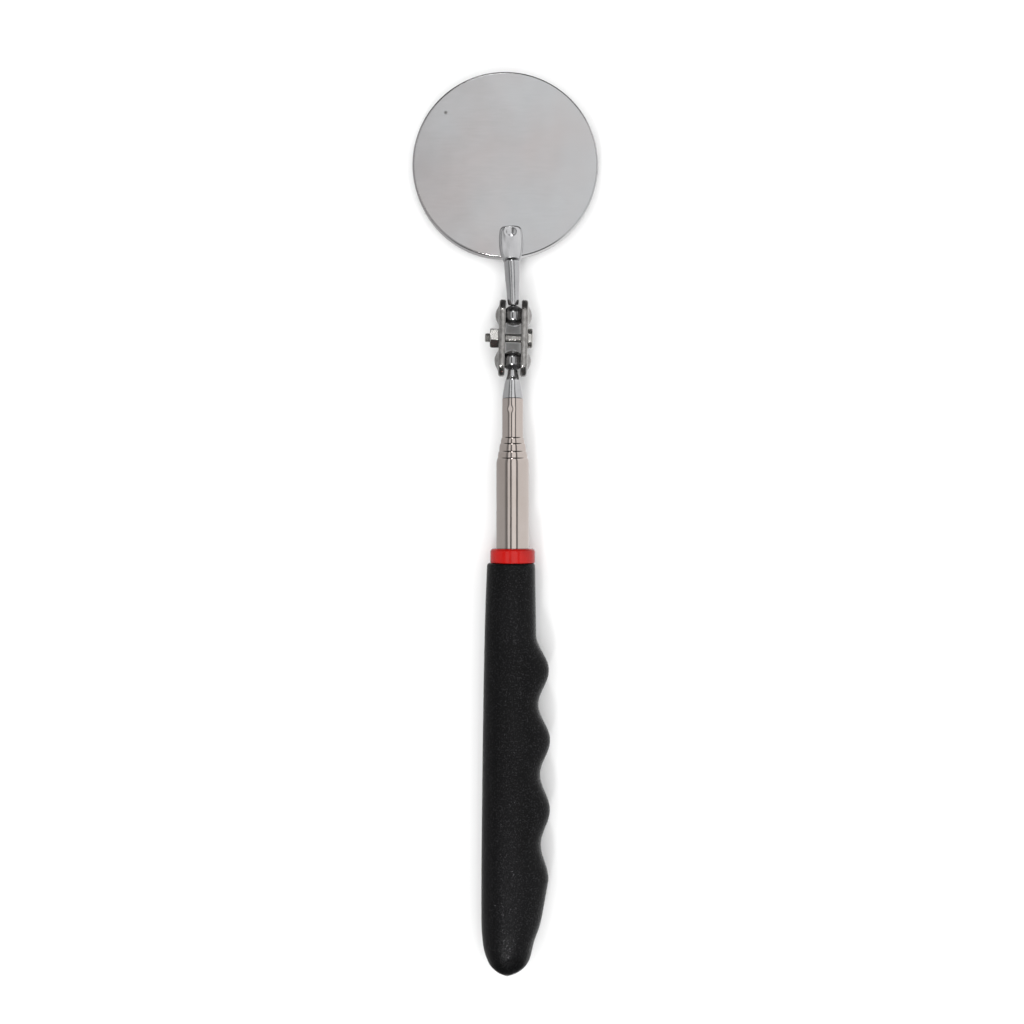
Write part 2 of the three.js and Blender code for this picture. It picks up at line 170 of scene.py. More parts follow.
def arc(centre_r, centre_h, radius, start, stop, steps):
    """Points on an arc in a profile, with angles in degrees from the radius axis."""
    angles = np.radians(np.linspace(start, stop, steps + 1))
    return [(centre_r + radius * math.cos(a), centre_h + radius * math.sin(a)) for a in angles]


def smooth_least(a, b, blend):
    """The lesser of two fields, with the crease between them rounded: a filleted join."""
    h = np.clip(0.5 + 0.5 * (b - a) / blend, 0, 1)
    return b + (a - b) * h - blend * h * (1 - h)


def smooth_most(a, b, blend):
    """The greater of two fields, with a rounded edge: a rounded cut."""
    return -smooth_least(-a, -b, blend)


def skin_of(field, low, high, cell):
    """Points and quads of a field's zero surface. The field is negative inside."""
    low, high = np.array(low, float), np.array(high, float)
    counts = np.ceil((high - low) / cell).astype(int) + 1
    axes = [low[i] + cell * np.arange(counts[i]) for i in range(3)]
    inside = field(*np.meshgrid(*axes, indexing="ij")) < 0
    corners = [
        inside[i : i + counts[0] - 1, j : j + counts[1] - 1, k : k + counts[2] - 1]
        for i in (0, 1)
        for j in (0, 1)
        for k in (0, 1)
    ]
    filled = sum(c.astype(int) for c in corners)
    crossed = (filled > 0) & (filled < 8)
    where = np.argwhere(crossed)
    number = np.full(crossed.shape, -1)
    number[crossed] = np.arange(len(where))
    points = pulled_on(field, low + (where + 0.5) * cell, cell)
    faces = []
    for axis in range(3):
        u, v = (axis + 1) % 3, (axis + 2) % 3
        near = [slice(0, None)] * 3
        far = [slice(0, None)] * 3
        near[axis], far[axis] = slice(0, -1), slice(1, None)
        change = np.argwhere(inside[tuple(near)] != inside[tuple(far)])
        step_u, step_v = np.eye(3, dtype=int)[u], np.eye(3, dtype=int)[v]
        ring = [change, change - step_u, change - step_u - step_v, change - step_v]
        quads = np.stack([number[tuple(cells.T)] for cells in ring], axis=1)
        leaving = inside[tuple(change.T)]
        quads[~leaving] = quads[~leaving][:, ::-1]
        faces.extend(quads.tolist())
    return points.tolist(), faces


def pulled_on(field, points, cell):
    """Moves points onto the field's zero surface along its slope."""
    reach = cell * 0.2
    for _ in range(4):
        value = field(*points.T)
        slope = np.stack(
            [
                (field(*(points + step).T) - field(*(points - step).T)) / (2 * reach)
                for step in np.eye(3) * reach
            ],
            axis=1,
        )
        length = np.maximum((slope**2).sum(1), 1e-6)
        move = -slope * (value / length)[:, None]
        points = points + np.clip(move, -cell, cell)
    return points


# ---- materials ------------------------------------------------------------------------------
class Surface:
    """A procedural material: a Principled shader with a few textures in the piece's own frame."""

    def __init__(self, name, metallic=0.0, **sockets):
        self.material = bpy.data.materials.new(name)
        self.material.use_nodes = True
        self.tree = self.material.node_tree
        self.shader = self.tree.nodes["Principled BSDF"]
        self.shader.inputs["Metallic"].default_value = metallic
        for socket, value in sockets.items():
            self.shader.inputs[socket.replace("_", " ")].default_value = value
        self.place = self.node("ShaderNodeTexCoord").outputs["Object"]

    def node(self, kind, **settings):
        made = self.tree.nodes.new(kind)
        for key, value in settings.items():
            setattr(made, key, value)
        return made

    def link(self, source, socket):
        self.tree.links.new(source, socket)

    def stretched(self, stretch, turn=0.0):
        """The place in mm, scaled along each axis and turned about Z by some degrees."""
        mapping = self.node("ShaderNodeMapping")
        mapping.inputs["Rotation"].default_value = (0, 0, math.radians(turn))
        mapping.inputs["Scale"].default_value = [s / MM for s in stretch]
        self.link(self.place, mapping.inputs["Vector"])
        return mapping.outputs["Vector"]

    def noise(self, stretch=(1, 1, 1), detail=2.0, turn=0.0, rough=0.5):
        """Noise with about as many features to the mm as stretch says along each axis."""
        noise = self.node("ShaderNodeTexNoise")
        noise.inputs["Scale"].default_value = 1.0
        noise.inputs["Detail"].default_value = detail
        noise.inputs["Roughness"].default_value = rough
        self.link(self.stretched(stretch, turn), noise.inputs["Vector"])
        return noise.outputs["Fac"]

    def cells(self, scale, feature="F1"):
        """Distance to the nearest of scattered points, scale of them to the mm."""
        cells = self.node("ShaderNodeTexVoronoi", feature=feature)
        cells.inputs["Scale"].default_value = 1.0
        self.link(self.stretched((scale,) * 3), cells.inputs["Vector"])
        return cells.outputs["Distance"]

    def scaled(self, value, low, high, out_low, out_high):
        """A value mapped from one span to another, and kept inside it."""
        mapped = self.node("ShaderNodeMapRange")
        self.link(value, mapped.inputs["Value"])
        spans = {"From Min": low, "From Max": high, "To Min": out_low, "To Max": out_high}
        for socket, number in spans.items():
            mapped.inputs[socket].default_value = number
        return mapped.outputs["Result"]

    def math(self, operation, a, b):
        made = self.node("ShaderNodeMath", operation=operation)
        for socket, value in zip(made.inputs, (a, b)):
            if isinstance(value, (int, float)):
                socket.default_value = value
            else:
                self.link(value, socket)
        return made.outputs["Value"]

    def mixed(self, share, first, second):
        """A colour between two colours."""
        mix = self.node("ShaderNodeMix", data_type="RGBA")
        self.link(share, mix.inputs["Factor"])
        for name, colour in (("A", first), ("B", second)):
            sockets = [s for s in mix.inputs if s.name == name and s.type == "RGBA"]
            if isinstance(colour, tuple):
                sockets[0].default_value = (*colour, 1)
            else:
                self.link(colour, sockets[0])
        return next(s for s in mix.outputs if s.type == "RGBA")

    def blended(self, share, low, high, first, second):
        """A colour that goes from first to second as share goes from low to high."""
        return self.mixed(self.scaled(share, low, high, 0, 1), first, second)

    def colour(self, source):
        self.link(source, self.shader.inputs["Base Color"])

    def roughness(self, source):
        self.link(source, self.shader.inputs["Roughness"])

    def metallic(self, source):
        self.link(source, self.shader.inputs["Metallic"])

    def bump(self, height, depth_mm):
        """Fine relief, depth_mm deep. A second call adds to the first."""
        bump = self.node("ShaderNodeBump")
        bump.inputs["Strength"].default_value = 1.0
        bump.inputs["Distance"].default_value = depth_mm * MM
        self.link(height, bump.inputs["Height"])
        normal = self.shader.inputs["Normal"]
        if normal.is_linked:
            self.link(normal.links[0].from_socket, bump.inputs["Normal"])
        self.link(bump.outputs["Normal"], normal)


def plated(name, bright, dull, roughness, draw=(14, 0.5, 14), dents=0.0):
    """Bright plate with hazy patches and fine marks drawn along one way. dents is their depth in mm."""
    surface = Surface(name, metallic=1.0)
    haze = surface.noise((0.16, 0.09, 0.16), detail=3)
    surface.colour(surface.blended(haze, 0.35, 0.65, bright, dull))
    marks = surface.noise(draw, detail=3)
    clouds = surface.noise((0.5, 0.35, 0.5), detail=4)
    drawn = surface.scaled(marks, 0.4, 0.7, 0, 0.06)
    clouded = surface.scaled(clouds, 0.45, 0.7, 0, 0.07)
    surface.roughness(surface.math("ADD", surface.math("ADD", drawn, clouded), roughness))
    surface.bump(marks, 0.0012)
    if dents:
        surface.bump(surface.noise((0.45, 0.12, 0.45), detail=1), dents)
    return surface.material


def case_steel():
    """Polished drawn steel, slightly hazy, with faint rubbing marks, a few small pits and warm patches of
    painted reflection.
    """
    surface = Surface("case_steel", metallic=1.0)
    # Warm and cool patches in the steel's colour: a painted warm reflection, laid out as large noise
    # patches.
    painted_warm_reflection = surface.noise((0.05, 0.04, 0.05), detail=2)
    base = surface.blended(painted_warm_reflection, 0.35, 0.65, (0.535, 0.51, 0.51), (0.545, 0.55, 0.56))
    rubs = [surface.noise((0.3, 7, 1), detail=3, turn=turn) for turn in (12, 76, 141)]
    rubbing = surface.math("ADD", surface.math("ADD", rubs[0], rubs[1]), rubs[2])
    marks = surface.math("MULTIPLY", rubbing, 1 / len(rubs))
    clouds = surface.noise((0.12, 0.12, 0.12), detail=5)
    pits = surface.scaled(surface.cells(0.045), 0.012, 0.03, 1, 0)
    surface.colour(surface.mixed(pits, base, (0.16, 0.155, 0.15)))
    rubbed = surface.scaled(marks, 0.42, 0.6, 0.16, 0.2)
    surface.roughness(surface.math("ADD", rubbed, surface.scaled(clouds, 0.35, 0.65, 0, 0.05)))
    surface.bump(marks, 0.0004)
    return surface.material


def pressed_steel():
    """Plated sheet steel with shear marks across its edges and a worn, slightly mottled skin."""
    surface = Surface("pressed_steel", metallic=1.0)
    mottle = surface.noise((0.9, 0.7, 0.9), detail=5)
    surface.colour(surface.blended(mottle, 0.35, 0.7, (0.42, 0.41, 0.40), (0.29, 0.28, 0.27)))
    shear = surface.noise((9, 0.8, 1.2), detail=3)
    sheared = surface.scaled(shear, 0.35, 0.7, 0, 0.08)
    surface.roughness(surface.math("ADD", sheared, surface.scaled(mottle, 0.4, 0.7, 0.12, 0.2)))
    surface.bump(shear, 0.005)
    surface.bump(mottle, 0.004)
    return surface.material


def grip_rubber():
    """Black vinyl rubber with a fine pebble, a slight bloom, and small dark glossy grains."""
    surface = Surface("grip_rubber", Specular_IOR_Level=0.11)
    bloom = surface.noise((0.09, 0.05, 0.09), detail=4)
    base = surface.blended(bloom, 0.35, 0.7, (0.0030, 0.0030, 0.0032), (0.0045, 0.0045, 0.0049))
    grains = surface.scaled(surface.noise((2.7, 2.7, 2.7), detail=2), 0.57, 0.68, 0, 1)
    surface.colour(surface.mixed(grains, base, (0.042, 0.042, 0.044)))
    surface.metallic(grains)
    surface.roughness(surface.scaled(grains, 0, 1, 0.27, 0.14))
    surface.bump(surface.noise((2.4, 2.4, 2.4), detail=3, rough=0.65), 0.09)
    surface.bump(surface.cells(1.7, "SMOOTH_F1"), 0.05)
    return surface.material


def collar_plastic():
    """Glossy red plastic with a faint ripple and a few scuffs."""
    surface = Surface("collar_plastic", Specular_IOR_Level=0.4)
    cast = surface.noise((0.4, 0.4, 0.4), detail=4)
    surface.colour(surface.blended(cast, 0.35, 0.7, (0.46, 0.006, 0.004), (0.40, 0.005, 0.003)))
    scuffs = surface.noise((1.2, 8, 1.2), detail=4)
    surface.roughness(surface.scaled(scuffs, 0.4, 0.75, 0.1, 0.25))
    surface.bump(surface.noise((0.9, 0.9, 0.9), detail=2), 0.01)
    return surface.material


def mirror_glass():
    """Silvered float glass: a clean reflector, very slightly green, with a trace of dust."""
    surface = Surface("mirror_glass", metallic=1.0, Coat_Weight=1.0, Coat_Roughness=0.02)
    dust = surface.noise((1.5, 1.5, 1.5), detail=5)
    surface.colour(surface.blended(dust, 0.55, 0.8, (0.86, 0.89, 0.88), (0.78, 0.8, 0.79)))
    surface.roughness(surface.scaled(dust, 0.5, 0.8, 0.015, 0.06))
    surface.bump(surface.noise((0.05, 0.05, 0.05)), 0.002)
    return surface.material


def spring_bronze():
    """Rolled spring bronze, dull gold with rolling lines."""
    surface = Surface("spring_bronze", metallic=1.0)
    stain = surface.noise((0.5, 0.3, 0.5), detail=4)
    surface.colour(surface.blended(stain, 0.35, 0.7, (0.55, 0.33, 0.13), (0.36, 0.2, 0.08)))
    lines = surface.noise((1, 16, 1), detail=3)
    surface.roughness(surface.scaled(lines, 0.3, 0.7, 0.22, 0.38))
    surface.bump(lines, 0.003)
    return surface.material


def plug_nylon():
    """Natural nylon, off-white and slightly waxy."""
    surface = Surface("plug_nylon", Subsurface_Weight=0.15, Subsurface_Scale=0.001)
    cloud = surface.noise((0.5, 0.5, 0.5), detail=4)
    surface.colour(surface.blended(cloud, 0.35, 0.7, (0.70, 0.67, 0.59), (0.6, 0.56, 0.47)))
    surface.roughness(surface.scaled(cloud, 0.35, 0.7, 0.4, 0.55))
    surface.bump(surface.noise((3, 3, 3), detail=2), 0.01)
    return surface.material


def pad_fibre():
    """Grey-brown fibre board with a felted grain."""
    surface = Surface("pad_fibre")
    fibres = surface.noise((5, 0.9, 5), detail=5, turn=30)
    surface.colour(surface.blended(fibres, 0.3, 0.7, (0.17, 0.14, 0.11), (0.10, 0.085, 0.065)))
    surface.roughness(surface.scaled(fibres, 0.3, 0.7, 0.8, 0.95))
    surface.bump(fibres, 0.05)
    return surface.material


BRIGHT = (0.62, 0.62, 0.63)
NICKEL = plated("tube_nickel", (0.64, 0.57, 0.535), (0.60, 0.53, 0.49), 0.05, dents=0.012)
CHROME = plated("cone_chrome", BRIGHT, (0.52, 0.52, 0.53), 0.06, draw=(9, 0.8, 9), dents=0.1)
FORGED_CHROME = plated("stem_chrome", BRIGHT, (0.50, 0.50, 0.51), 0.12, draw=(7, 0.8, 7), dents=0.1)
BALL_CHROME = plated("ball_chrome", (0.42, 0.42, 0.425), (0.33, 0.33, 0.335), 0.1, draw=(5, 5, 5))
ZINC = plated("screw_steel", (0.64, 0.63, 0.61), (0.50, 0.49, 0.47), 0.16, draw=(12, 5, 5))
STEEL = pressed_steel()
CASE = case_steel()
RUBBER = grip_rubber()
RED = collar_plastic()
GLASS = mirror_glass()
BRONZE = spring_bronze()
NYLON = plug_nylon()
FIBRE = pad_fibre()


# ---- grip and collar --------------------------------------------------------------------------
# The grip's outline is measured from its tip along +Y, and from the tubes' axis across.
GRIP_LENGTH = grip_size.y / MM
HALF_DEPTH = grip_size.z / 2 / MM
WAVE_START = 91.0
WAVE_PITCH = 18.7
FIRST_PEAK = 81.9
LAST_PEAK = FIRST_PEAK - 3 * WAVE_PITCH
TIP_OFFSET = -1.5
TIP_BEND = 14  # over this length the middle of the grip swings out to the tip
SQUARENESS = 0.9  # 1 is an ellipse
MOUTH_ROUND = 0.7
TIP_STRETCH = 18.0  # over this length the rings are closer together
FIT = 0.03  # between a tube and the bore, mouth or sleeve that it fits
TUBE_RADII = [radius_of(f"tube_{n}") for n in range(1, 6)]
BORE = TUBE_RADII[0] + FIT


def through(points):
    """A smooth curve through a few (distance, value) points, as a function of distance."""
    knots = np.array([points[0], *points, points[-1]], float)
    samples = []
    for before, start, stop, after in zip(knots, knots[1:], knots[2:], knots[3:]):
        for t in np.linspace(0, 1, 60):
            leave, arrive = (stop - before) / 2, (after - start) / 2
            cubic = (2 * start - 2 * stop + leave + arrive) * t**3
            square = (3 * stop - 3 * start - 2 * leave - arrive) * t**2
            samples.append(cubic + square + leave * t + start)
    samples = np.array(samples)
    return lambda y: float(np.interp(y, samples[:, 0], samples[:, 1]))


TIP = (0, TIP_OFFSET)
HEEL_PEAK = 9.55
MOUTH_SIDE = 6.3
palm_side = through(
    [TIP, (1.7, -4.5), (4.4, -6.7), (10, -8.1), (22, -8.4), (60, -8.05), (92, -7.5), (GRIP_LENGTH, -6.85)]
)
finger_heel = through([TIP, (1.7, 1.9), (4.4, 4.35), (9.7, 5.8), (15.1, 7.6), (LAST_PEAK, HEEL_PEAK)])
finger_peaks = through(
    [(LAST_PEAK, HEEL_PEAK), (44.5, 9.95), (63.2, 10), (FIRST_PEAK, 9.7), (WAVE_START, 9.7)]
)
finger_valleys = through(
    [(LAST_PEAK, 7.65), (35.2, 7.55), (54, 7.35), (72.6, 6.9), (WAVE_START, MOUTH_SIDE)]
)
finger_mouth = through([(WAVE_START, MOUTH_SIDE), (GRIP_LENGTH, 6)])
half_depth = through(
    [(0, 0), (1.7, 3.2), (4.4, 5.2), (10, 6.5), (22, HALF_DEPTH), (60, 6.75), (GRIP_LENGTH, 6.4)]
)


def finger_side(y):
    """How far the bumpy side stands out from the axis: a smooth heel, four bumps and a straight mouth."""
    if y < LAST_PEAK:
        return finger_heel(y)
    if y > WAVE_START:
        return finger_mouth(y)
    crest = (1 + math.cos(2 * math.pi * (y - FIRST_PEAK) / WAVE_PITCH)) / 2
    return finger_valleys(y) + (finger_peaks(y) - finger_valleys(y)) * crest


def grip_section(y, sides, inset=0.0):
    """A slightly squared oval whose two sides follow their own outlines."""
    near_tip = 1 - min(max(y / TIP_BEND, 0), 1)
    middle = TIP_OFFSET * near_tip * near_tip * (3 - 2 * near_tip)
    ring = []
    for i in range(sides):
        angle = 2 * math.pi * i / sides
        across = math.copysign(abs(math.cos(angle)) ** SQUARENESS, math.cos(angle))
        up = math.copysign(abs(math.sin(angle)) ** SQUARENESS, math.sin(angle))
        side = finger_side(y) - middle if across > 0 else middle - palm_side(y)
        depth = min(half_depth(y), HALF_DEPTH)
        ring.append((middle + across * (side - inset), up * (depth - inset)))
    return ring


def make_grip():
    """The grip: rings from the tip up its outside, round its mouth and down into the tube's bore."""
    sides, tip_steps, body_steps, round_steps = 160, 44, 340, 6
    straight_end = GRIP_LENGTH - MOUTH_ROUND
    stations = [TIP_STRETCH * (i / tip_steps) ** 2 for i in range(1, tip_steps + 1)]
    stations.extend(np.linspace(TIP_STRETCH, straight_end, body_steps + 1)[1:])
    rings = [(y, grip_section(y, sides)) for y in stations]
    for step in range(1, round_steps + 1):
        turn = math.radians(90 * step / round_steps)
        inset = MOUTH_ROUND * (1 - math.cos(turn))
        y = straight_end + MOUTH_ROUND * math.sin(turn)
        rings.append((y, grip_section(straight_end, sides, inset)))
    circle = [(math.cos(2 * math.pi * i / sides), math.sin(2 * math.pi * i / sides)) for i in range(sides)]
    bore_foot = along_tool("tube_1", 0) - 0.2
    for y in (GRIP_LENGTH, GRIP_LENGTH - 0.3, bore_foot):
        rings.append((y, [(BORE * c, BORE * s) for c, s in circle]))
    points = [(TIP_OFFSET, 0.0, 0.0)]
    for y, ring in rings:
        points.extend((x, y, z) for x, z in ring)
    points.append((0.0, bore_foot, 0.0))
    faces = []
    for i in range(sides):
        j = (i + 1) % sides
        faces.append((0, 1 + i, 1 + j))
        for r in range(len(rings) - 1):
            low, high = 1 + r * sides, 1 + (r + 1) * sides
            faces.append((low + i, high + i, high + j, low + j))
        last = 1 + (len(rings) - 1) * sides
        faces.append((last + j, last + i, len(points) - 1))
    make_piece("finger_grip", points, faces, TOOL, "handle", ["grip"], "grip_rubber", RUBBER)


def make_collar():
    """The red ring at the grip's mouth, round the first tube."""
    foot, top = along_tool("grip_collar", 0), along_tool("grip_collar", 1)
    radius = radius_of("grip_collar")
    profile = rounded([(BORE, foot, 0.1), (radius, foot, 0.2), (radius, top, 0.9), (BORE, top, 0.2)])
    points, faces = turned(profile, closed=True)
    make_piece("red_collar", points, faces, TOOL, "handle", ["grip_collar"], "collar_red", RED)


# ---- telescope --------------------------------------------------------------------------------
TUBE_WALL = 0.22
TUBE_ROLL = 1.5  # length of the rolled-in end
FOOT_CHAMFER = 0.08
TUBE_BODIES = ["handle", "section_2", "section_3", "section_4", "section_5"]
CRIMP_BEFORE_END = 2.9
CRIMP_ANGLE = math.radians(-13)
CRIMP_DEPTH = 0.13
CRIMP_SPREAD = 0.75
SLEEVE_SLOT = math.radians(30)


def crimped(y_crimp, radius):
    """Pushes a tube's wall in round the punch mark that holds it on the cone."""
    centre = (radius * math.sin(CRIMP_ANGLE), y_crimp, radius * math.cos(CRIMP_ANGLE))

    def shape(x, y, z):
        away = math.dist((x, y, z), centre)
        push = CRIMP_DEPTH * math.exp(-((away / CRIMP_SPREAD) ** 2)) / math.hypot(x, z)
        return (x * (1 - push), y, z * (1 - push))

    return shape


def make_tube(n):
    """Tube n, counted from 1 at the handle. Its upper end is rolled in round the next tube, and the
    last one's is punched in to hold the cone."""
    node = f"tube_{n}"
    foot, end, radius = along_tool(node, 0), along_tool(node, 1), TUBE_RADII[n - 1]
    bore = radius - TUBE_WALL
    shape = None
    if n == len(TUBE_RADII):
        near_crimp = [(radius, y) for y in np.linspace(end - 4.5, end - 1, 60)]
        outside = [(radius, foot + 0.1), *near_crimp, (radius, end - 0.05), (radius - 0.05, end)]
        profile = [(bore, foot), (radius - FOOT_CHAMFER, foot), *outside, (bore, end)]
        shape = crimped(end - CRIMP_BEFORE_END, radius)
    else:
        mouth = TUBE_RADII[n] + FIT
        shoulder = end - TUBE_ROLL
        # The roll narrows evenly, then curls in at the mouth.
        rolled = [
            (radius - (radius - mouth) * (0.4 * t + 0.6 * t**4), shoulder + TUBE_ROLL * t)
            for t in np.linspace(0, 0.98, 16)
        ]
        outside = [(radius, foot + 0.1), (radius, shoulder - 0.3), *rolled, (mouth, end - 0.03)]
        inside = [(mouth, end - 0.5), (bore, shoulder + 0.25)]
        profile = [(bore, foot), (radius - FOOT_CHAMFER, foot), *outside, *inside]
    points, faces = turned(profile, sides=192, closed=True, shape=shape)
    body = TUBE_BODIES[n - 1]
    make_piece(f"chromed_{node}", points, faces, TOOL, body, [node], "tube_nickel", NICKEL)


def make_sleeve(n):
    """The split spring sleeve on tube n's foot."""
    node = f"friction_sleeve_{n}"
    foot, end = along_tool(node, 0), along_tool(node, 1)
    inner, outer = TUBE_RADII[n - 1] + FIT, TUBE_RADII[n - 2] - TUBE_WALL - FIT
    body = "sleeve_5" if n == 5 else f"section_{n}"
    steps = 120
    section = [(inner, foot), (outer, foot + 0.05), (outer, end - 0.05), (inner, end)]
    points, faces = [], []
    for step in range(steps + 1):
        angle = SLEEVE_SLOT / 2 + (2 * math.pi - SLEEVE_SLOT) * step / steps
        points.extend((r * math.cos(angle), h, r * math.sin(angle)) for r, h in section)
    for step in range(steps):
        low, high = 4 * step, 4 * (step + 1)
        for i in range(4):
            j = (i + 1) % 4
            faces.append((low + i, low + j, high + j, high + i))
    faces.extend([(3, 2, 1, 0), tuple(4 * steps + i for i in range(4))])
    make_piece(f"split_sleeve_{n}", points, faces, TOOL, body, [node], "spring_bronze", BRONZE)


def make_plug():
    """The plug that the inner tubes bottom on."""
    node = "tube_end_plug"
    foot, end, radius = along_tool(node, 0), along_tool(node, 1), radius_of(node)
    corners = [(0, foot, 0), (radius, foot, 0.2), (radius, end, 0.4), (0, end, 0)]
    points, faces = turned(rounded(corners))
    make_piece("end_plug", points, faces, TOOL, "handle", [node], "plug_nylon", NYLON)


BALL_RADIUS = radius_of("lower_ball")
NECK_SINK = 0.05  # how far the stem's neck runs into its ball


def make_tip():
    """The cone: a spigot in the last tube, a small shoulder and a long hollow taper to the ball."""
    foot = along_tool("tip_ball_stem", 0)
    ball = (lower_ball.y - grip_low.y) / MM
    shoulder = along_tool("tube_5", 1) + 0.05
    spigot = TUBE_RADII[4] - TUBE_WALL - 0.02
    # The cone's radius by its distance from the shoulder.
    taper = through([(0, 2.74), (1.2, 2.62), (4.55, 2.05), (5.85, 1.6), (6.95, 1.37), (7.9, 1.3)])
    length = ball - shoulder - BALL_RADIUS + 0.3
    cone = [(taper(y), shoulder + y) for y in np.linspace(0.16, length, 60)]
    inside = [(0, foot), (spigot - 0.4, foot), (spigot, foot + 0.4), (spigot, shoulder)]
    edge = [(2.6, shoulder), (2.72, shoulder + 0.05), (2.76, shoulder + 0.11)]
    points, faces = turned([*inside, *edge, *cone, (0, shoulder + length)])
    nodes = ["tip_ball_stem"]
    make_piece("turned_cone", points, faces, TOOL, "section_5", nodes, "stem_chrome", CHROME)


def make_ball(node, place):
    """A turned ball, from pole to pole."""
    profile = [(0, -BALL_RADIUS), *arc(0, 0, BALL_RADIUS, -88, 88, 70), (0, BALL_RADIUS)]
    points, faces = turned(profile, sides=120)
    make_piece(f"{node}_joint", points, faces, place, node, [node], "stem_chrome", BALL_CHROME)


# ---- clamp ------------------------------------------------------------------------------------
BALL_SPACING = (upper_ball - lower_ball).length / MM
PLATE_INNER = 2.05  # half the gap between the plates
PLATE_OUTER = 3.85
PLATE_END_RADIUS = 4.3
PLATE_EDGE_ROUND = 0.8
PLATE_INNER_ROUND = 0.6
SOCKET_RADIUS = 3.5
SOCKET_BLEND = 0.7
SOCKET_TOP = 4.9  # the top of a socket's dome, across from the clamp's middle
SEAT_RADIUS = BALL_RADIUS + 0.06
SCREW_HOLE_RADIUS = 1.35
EDGE_ROUND = 0.12  # on the screw, the nut and the screw's holes


def plate_field(x, y, z):
    """The plate on the +X side: an oblong with round ends, a domed socket over each ball, and a hole."""
    past_end = np.maximum(np.abs(y - BALL_SPACING / 2) - BALL_SPACING / 2, 0)
    outline = np.sqrt(past_end**2 + z**2) - PLATE_END_RADIUS
    plate = smooth_most(outline, x - PLATE_OUTER, PLATE_EDGE_ROUND)
    for centre in (0, BALL_SPACING):
        from_socket = np.sqrt((x - SOCKET_TOP + SOCKET_RADIUS) ** 2 + (y - centre) ** 2 + z**2)
        plate = smooth_least(plate, from_socket - SOCKET_RADIUS, SOCKET_BLEND)
    plate = smooth_most(plate, PLATE_INNER - x, PLATE_INNER_ROUND)
    for centre in (0, BALL_SPACING):
        from_ball = np.sqrt(x**2 + (y - centre) ** 2 + z**2)
        plate = smooth_most(plate, SEAT_RADIUS - from_ball, 0.15)
    from_screw = np.sqrt((y - BALL_SPACING / 2) ** 2 + z**2)
    return smooth_most(plate, SCREW_HOLE_RADIUS - from_screw, EDGE_ROUND)


def make_plates():
    """The right plate, and the left one as its mirror image."""
    reach = PLATE_END_RADIUS + 0.3
    low = (PLATE_INNER - 0.3, -reach, -reach)
    high = (SOCKET_TOP + 0.3, BALL_SPACING + reach, reach)
    points, faces = skin_of(plate_field, low, high, cell=0.13)
    across = [(-x, y, z) for x, y, z in points]
    turned_faces = [face[::-1] for face in faces]
    slot = "plate_steel"
    make_piece("ball_plate_right", points, faces, CLAMP, "clamp", ["clamp_plate_right"], slot, STEEL)
    make_piece("ball_plate_left", across, turned_faces, CLAMP, "clamp", ["clamp_plate_left"], slot, STEEL)


SCREW_RADIUS = 1.22
THREAD_PITCH = 0.45
THREAD_DEPTH = 0.14
SHANK_DEPTH = 0.05  # of the worn thread
END_CHAMFER = 0.3
HEAD_RADIUS = 2.7
HEAD_HEIGHT = 1.45
RECESS_DEPTH = 1.0
RECESS_HALF_WIDTH = 0.32
RECESS_REACH = 1.35
SEAT_GAP = 0.05
NUT_HEIGHT = 2.3
NUT_ACROSS_FLATS = 4.9
NUT_TURN = math.radians(16)
NUT_CHAMFER = 0.42
CHAMFER_SLOPE = 1.2
THREAD_PROUD = 1.3


def head_field(x, y, z):
    """A pan head with a cross recess. x runs out of the head from its seat."""
    radial = np.sqrt(y**2 + z**2)
    head = smooth_most(radial - HEAD_RADIUS, x - HEAD_HEIGHT + 0.02 * radial**2, 0.6)
    head = smooth_most(head, -x, EDGE_ROUND)
    inside = (HEAD_HEIGHT - x) / RECESS_DEPTH
    for turn in (45, 135):
        c, s = math.cos(math.radians(turn)), math.sin(math.radians(turn))
        along, across = y * c + z * s, -y * s + z * c
        past_side = np.abs(across) - RECESS_HALF_WIDTH + 0.08 * inside
        past_tip = np.abs(along) - RECESS_REACH + 0.75 * inside
        arm = np.maximum(past_side, past_tip)
        head = smooth_most(head, -np.maximum(arm, HEAD_HEIGHT - RECESS_DEPTH - x), 0.08)
    return head


def threaded_rod(start, stop, sides=48):
    """Points and faces of a threaded rod along +X with a chamfered free end at start. Past the left
    plate the thread is worn down."""
    rings_per_turn = 10
    steps = int((stop - start) / THREAD_PITCH * rings_per_turn)
    points, faces = [], []
    for step in range(steps + 1):
        x = start + (stop - start) * step / steps
        for i in range(sides):
            turn = i / sides
            phase = (x / THREAD_PITCH - turn) % 1
            sunk = min(1, max(0, 2.4 * abs(phase - 0.5) - 0.1))
            depth = THREAD_DEPTH if x < -PLATE_INNER else SHANK_DEPTH
            r = min(SCREW_RADIUS + 0.03 - depth * sunk, SCREW_RADIUS - END_CHAMFER + (x - start))
            points.append((x, r * math.cos(2 * math.pi * turn), r * math.sin(2 * math.pi * turn)))
    for step in range(steps):
        for i in range(sides):
            low, high, j = step * sides, (step + 1) * sides, (i + 1) % sides
            faces.append((low + i, low + j, high + j, high + i))
    faces.append(tuple(reversed(range(sides))))
    faces.append(tuple(steps * sides + i for i in range(sides)))
    return points, faces


